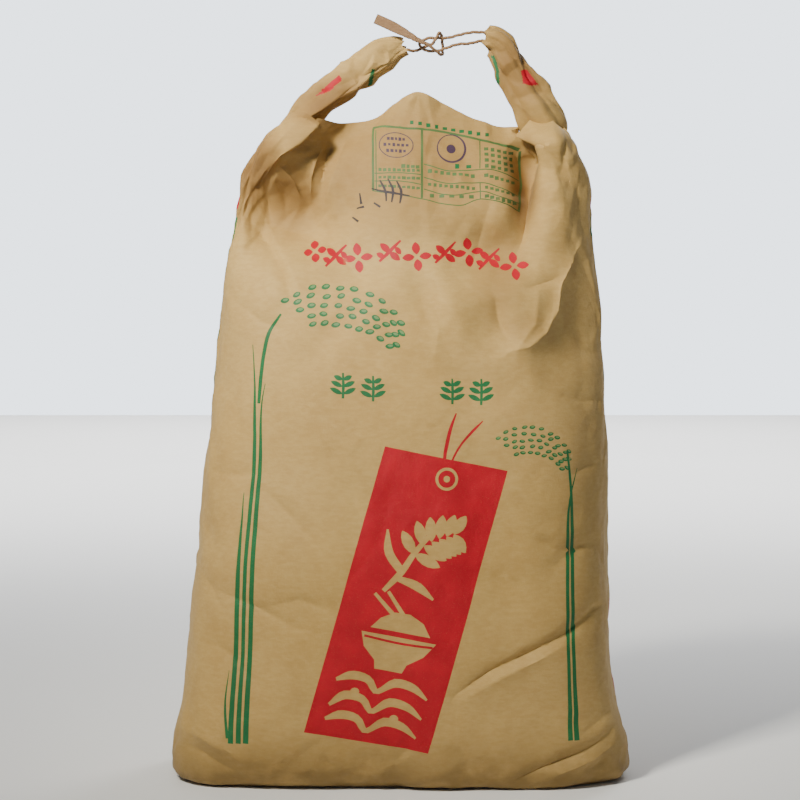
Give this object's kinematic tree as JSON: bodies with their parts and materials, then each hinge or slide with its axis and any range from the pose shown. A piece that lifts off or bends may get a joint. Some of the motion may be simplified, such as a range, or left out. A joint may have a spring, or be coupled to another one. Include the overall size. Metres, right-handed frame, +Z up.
{
  "type": "rice sack",
  "caption": "Filled kraft paper rice sack standing upright, its rolled mouth drawn up into two arms tied over the top with paper cord.",
  "frame": {"origin": "middle of the bounding box's base, on the surface that the sack stands on", "axes": "+Z up, the printed front faces -Y, +X to the right of the printed front"},
  "size_m": [0.4311, 0.2142, 0.7169],
  "materials": {
    "kraft_paper": "matte brown kraft paper, printed in red and green",
    "paper_cord": "matte twisted brown paper"
  },
  "bodies": {
    "root": {"sack": "kraft_paper", "tie_loop_right": "paper_cord", "tie_cord_left": "paper_cord"}
  },
  "joints": []
}
